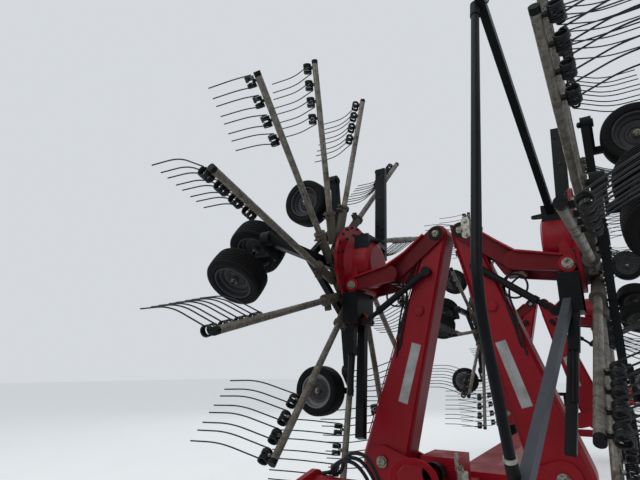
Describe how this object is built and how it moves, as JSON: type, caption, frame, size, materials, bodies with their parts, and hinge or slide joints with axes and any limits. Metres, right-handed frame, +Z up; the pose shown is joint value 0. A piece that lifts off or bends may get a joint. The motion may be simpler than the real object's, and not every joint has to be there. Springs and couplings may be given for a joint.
{
  "type": "folded rotary rake",
  "caption": "Towed hay rake folded for the road: spring-tined rotors held upright on tilting booms over a central beam with a swivelling hitch and two road wheels.",
  "frame": {"origin": "centre of the overall box in plan, at ground height, with the parking jack down", "axes": "+Z up, -Y towards the hitch, +X to the right as seen from the hitch end, looking at the machine"},
  "size_m": [2.9, 8.9, 4.07],
  "materials": {
    "red_paint": "satin, weathered",
    "dark_grey": "satin",
    "black_paint": "satin",
    "galvanised": "dull, dusty",
    "zinc": "dull",
    "tyre": "dusty rubber"
  },
  "bodies": {
    "frame": {"main_frame": "red_paint", "road_axle": "red_paint", "lamp_bar": "black_paint"},
    "headstock": {"headstock": "red_paint"},
    "jack": {"jack": "zinc"},
    "road_wheel_left": {"road_wheel_left": "tyre"},
    "road_wheel_right": {"road_wheel_right": "tyre"},
    "boom_front_left": {"boom_front_left": "red_paint", "gooseneck_front_left": "red_paint", "rotor_head_front_left": "red_paint", "undercarriage_front_left": "dark_grey", "post_front_left": "dark_grey"},
    "rotor_front_left": {"arm_carrier_front_left": "dark_grey", "tine_arms_front_left": "galvanised"},
    "nose_castor_front_left": {"nose_castor_front_left": "dark_grey"},
    "nose_wheel_front_left": {"nose_wheel_front_left": "tyre"},
    "outer_castor_front_left": {"outer_castor_front_left": "dark_grey"},
    "outer_wheel_front_left": {"outer_wheel_front_left": "tyre"},
    "inner_castor_front_left": {"inner_castor_front_left": "dark_grey"},
    "inner_wheel_front_left": {"inner_wheel_front_left": "tyre"},
    "boom_front_right": {"boom_front_right": "red_paint", "gooseneck_front_right": "red_paint", "rotor_head_front_right": "red_paint", "undercarriage_front_right": "dark_grey", "post_front_right": "dark_grey", "guard_front_right": "black_paint"},
    "rotor_front_right": {"arm_carrier_front_right": "dark_grey", "tine_arms_front_right": "galvanised"},
    "nose_castor_front_right": {"nose_castor_front_right": "dark_grey"},
    "nose_wheel_front_right": {"nose_wheel_front_right": "tyre"},
    "outer_castor_front_right": {"outer_castor_front_right": "dark_grey"},
    "outer_wheel_front_right": {"outer_wheel_front_right": "tyre"},
    "inner_castor_front_right": {"inner_castor_front_right": "dark_grey"},
    "inner_wheel_front_right": {"inner_wheel_front_right": "tyre"},
    "boom_rear_left": {"boom_rear_left": "red_paint", "gooseneck_rear_left": "red_paint", "rotor_head_rear_left": "red_paint", "undercarriage_rear_left": "dark_grey"},
    "rotor_rear_left": {"arm_carrier_rear_left": "dark_grey", "tine_arms_rear_left": "galvanised"},
    "nose_castor_rear_left": {"nose_castor_rear_left": "dark_grey"},
    "nose_wheel_rear_left": {"nose_wheel_rear_left": "tyre"},
    "outer_castor_rear_left": {"outer_castor_rear_left": "dark_grey"},
    "outer_wheel_rear_left": {"outer_wheel_rear_left": "tyre"},
    "inner_castor_rear_left": {"inner_castor_rear_left": "dark_grey"},
    "inner_wheel_rear_left": {"inner_wheel_rear_left": "tyre"},
    "boom_rear_right": {"boom_rear_right": "red_paint", "gooseneck_rear_right": "red_paint", "rotor_head_rear_right": "red_paint", "undercarriage_rear_right": "dark_grey"},
    "rotor_rear_right": {"arm_carrier_rear_right": "dark_grey", "tine_arms_rear_right": "galvanised"},
    "nose_castor_rear_right": {"nose_castor_rear_right": "dark_grey"},
    "nose_wheel_rear_right": {"nose_wheel_rear_right": "tyre"},
    "outer_castor_rear_right": {"outer_castor_rear_right": "dark_grey"},
    "outer_wheel_rear_right": {"outer_wheel_rear_right": "tyre"},
    "inner_castor_rear_right": {"inner_castor_rear_right": "dark_grey"},
    "inner_wheel_rear_right": {"inner_wheel_rear_right": "tyre"}
  },
  "joints": [
    {"name": "headstock_swivel", "type": "hinge", "parent": "frame", "child": "headstock", "pos_m": [0, -3.709, 0.74], "axis": [0, 0, 1], "range_deg": [-20, 20]},
    {"name": "jack_slide", "type": "slide", "parent": "frame", "child": "jack", "axis": [0, 0, 1], "range_m": [0, 0.35]},
    {"name": "road_wheel_left_spin", "type": "hinge", "parent": "frame", "child": "road_wheel_left", "pos_m": [-0.92, 3.891, 0.43], "axis": [1, 0, 0], "continuous": true},
    {"name": "road_wheel_right_spin", "type": "hinge", "parent": "frame", "child": "road_wheel_right", "pos_m": [0.92, 3.891, 0.43], "axis": [1, 0, 0], "continuous": true},
    {"name": "boom_fold_front_left", "type": "hinge", "parent": "frame", "child": "boom_front_left", "pos_m": [-0.58, -2.659, 0.87], "axis": [0, -1, 0], "range_deg": [0, 90]},
    {"name": "rotor_spin_front_left", "type": "hinge", "parent": "boom_front_left", "child": "rotor_front_left", "pos_m": [-0.88, -2.659, 2.33], "axis": [-1, 0, 0], "continuous": true},
    {"name": "nose_castor_swing_front_left", "type": "hinge", "parent": "boom_front_left", "child": "nose_castor_front_left", "pos_m": [-0.995, -3.679, 2.36], "axis": [1, 0, 0], "range_deg": [0, 80]},
    {"name": "nose_wheel_spin_front_left", "type": "hinge", "parent": "nose_castor_front_left", "child": "nose_wheel_front_left", "pos_m": [-1.245, -3.55643, 2.25715], "axis": [0, 0.6428, 0.766], "continuous": true},
    {"name": "outer_castor_swing_front_left", "type": "hinge", "parent": "boom_front_left", "child": "outer_castor_front_left", "pos_m": [-0.995, -2.759, 3.1], "axis": [1, 0, 0], "continuous": true},
    {"name": "outer_wheel_spin_front_left", "type": "hinge", "parent": "outer_castor_front_left", "child": "outer_wheel_front_left", "pos_m": [-1.245, -2.759, 2.94], "axis": [0, 1, 0], "continuous": true},
    {"name": "inner_castor_swing_front_left", "type": "hinge", "parent": "boom_front_left", "child": "inner_castor_front_left", "pos_m": [-0.995, -2.549, 1.488], "axis": [1, 0, 0], "continuous": true},
    {"name": "inner_wheel_spin_front_left", "type": "hinge", "parent": "inner_castor_front_left", "child": "inner_wheel_front_left", "pos_m": [-1.245, -2.549, 1.328], "axis": [0, 1, 0], "continuous": true},
    {"name": "boom_fold_front_right", "type": "hinge", "parent": "frame", "child": "boom_front_right", "pos_m": [0.58, -2.659, 0.87], "axis": [0, 1, 0], "range_deg": [0, 90]},
    {"name": "rotor_spin_front_right", "type": "hinge", "parent": "boom_front_right", "child": "rotor_front_right", "pos_m": [0.88, -2.659, 2.33], "axis": [1, 0, 0], "continuous": true},
    {"name": "nose_castor_swing_front_right", "type": "hinge", "parent": "boom_front_right", "child": "nose_castor_front_right", "pos_m": [0.995, -3.679, 2.36], "axis": [1, 0, 0], "range_deg": [0, 80]},
    {"name": "nose_wheel_spin_front_right", "type": "hinge", "parent": "nose_castor_front_right", "child": "nose_wheel_front_right", "pos_m": [1.245, -3.55643, 2.25715], "axis": [0, 0.6428, 0.766], "continuous": true},
    {"name": "outer_castor_swing_front_right", "type": "hinge", "parent": "boom_front_right", "child": "outer_castor_front_right", "pos_m": [0.995, -2.759, 3.1], "axis": [1, 0, 0], "continuous": true},
    {"name": "outer_wheel_spin_front_right", "type": "hinge", "parent": "outer_castor_front_right", "child": "outer_wheel_front_right", "pos_m": [1.245, -2.759, 2.94], "axis": [0, 1, 0], "continuous": true},
    {"name": "inner_castor_swing_front_right", "type": "hinge", "parent": "boom_front_right", "child": "inner_castor_front_right", "pos_m": [0.995, -2.549, 1.488], "axis": [1, 0, 0], "continuous": true},
    {"name": "inner_wheel_spin_front_right", "type": "hinge", "parent": "inner_castor_front_right", "child": "inner_wheel_front_right", "pos_m": [1.245, -2.549, 1.328], "axis": [0, 1, 0], "continuous": true},
    {"name": "boom_fold_rear_left", "type": "hinge", "parent": "frame", "child": "boom_rear_left", "pos_m": [-0.58, 1.941, 0.87], "axis": [0, -1, 0], "range_deg": [0, 90]},
    {"name": "rotor_spin_rear_left", "type": "hinge", "parent": "boom_rear_left", "child": "rotor_rear_left", "pos_m": [-0.88, 1.941, 2.33], "axis": [-1, 0, 0], "continuous": true},
    {"name": "nose_castor_swing_rear_left", "type": "hinge", "parent": "boom_rear_left", "child": "nose_castor_rear_left", "pos_m": [-0.995, 0.921, 2.36], "axis": [1, 0, 0], "range_deg": [0, 80]},
    {"name": "nose_wheel_spin_rear_left", "type": "hinge", "parent": "nose_castor_rear_left", "child": "nose_wheel_rear_left", "pos_m": [-1.245, 1.04357, 2.25715], "axis": [0, 0.6428, 0.766], "continuous": true},
    {"name": "outer_castor_swing_rear_left", "type": "hinge", "parent": "boom_rear_left", "child": "outer_castor_rear_left", "pos_m": [-0.995, 1.841, 3.1], "axis": [1, 0, 0], "continuous": true},
    {"name": "outer_wheel_spin_rear_left", "type": "hinge", "parent": "outer_castor_rear_left", "child": "outer_wheel_rear_left", "pos_m": [-1.245, 1.841, 2.94], "axis": [0, 1, 0], "continuous": true},
    {"name": "inner_castor_swing_rear_left", "type": "hinge", "parent": "boom_rear_left", "child": "inner_castor_rear_left", "pos_m": [-0.995, 2.051, 1.488], "axis": [1, 0, 0], "continuous": true},
    {"name": "inner_wheel_spin_rear_left", "type": "hinge", "parent": "inner_castor_rear_left", "child": "inner_wheel_rear_left", "pos_m": [-1.245, 2.051, 1.328], "axis": [0, 1, 0], "continuous": true},
    {"name": "boom_fold_rear_right", "type": "hinge", "parent": "frame", "child": "boom_rear_right", "pos_m": [0.58, 1.941, 0.87], "axis": [0, 1, 0], "range_deg": [0, 90]},
    {"name": "rotor_spin_rear_right", "type": "hinge", "parent": "boom_rear_right", "child": "rotor_rear_right", "pos_m": [0.88, 1.941, 2.33], "axis": [1, 0, 0], "continuous": true},
    {"name": "nose_castor_swing_rear_right", "type": "hinge", "parent": "boom_rear_right", "child": "nose_castor_rear_right", "pos_m": [0.995, 0.921, 2.36], "axis": [1, 0, 0], "range_deg": [0, 80]},
    {"name": "nose_wheel_spin_rear_right", "type": "hinge", "parent": "nose_castor_rear_right", "child": "nose_wheel_rear_right", "pos_m": [1.245, 1.04357, 2.25715], "axis": [0, 0.6428, 0.766], "continuous": true},
    {"name": "outer_castor_swing_rear_right", "type": "hinge", "parent": "boom_rear_right", "child": "outer_castor_rear_right", "pos_m": [0.995, 1.841, 3.1], "axis": [1, 0, 0], "continuous": true},
    {"name": "outer_wheel_spin_rear_right", "type": "hinge", "parent": "outer_castor_rear_right", "child": "outer_wheel_rear_right", "pos_m": [1.245, 1.841, 2.94], "axis": [0, 1, 0], "continuous": true},
    {"name": "inner_castor_swing_rear_right", "type": "hinge", "parent": "boom_rear_right", "child": "inner_castor_rear_right", "pos_m": [0.995, 2.051, 1.488], "axis": [1, 0, 0], "continuous": true},
    {"name": "inner_wheel_spin_rear_right", "type": "hinge", "parent": "inner_castor_rear_right", "child": "inner_wheel_rear_right", "pos_m": [1.245, 2.051, 1.328], "axis": [0, 1, 0], "continuous": true}
  ]
}
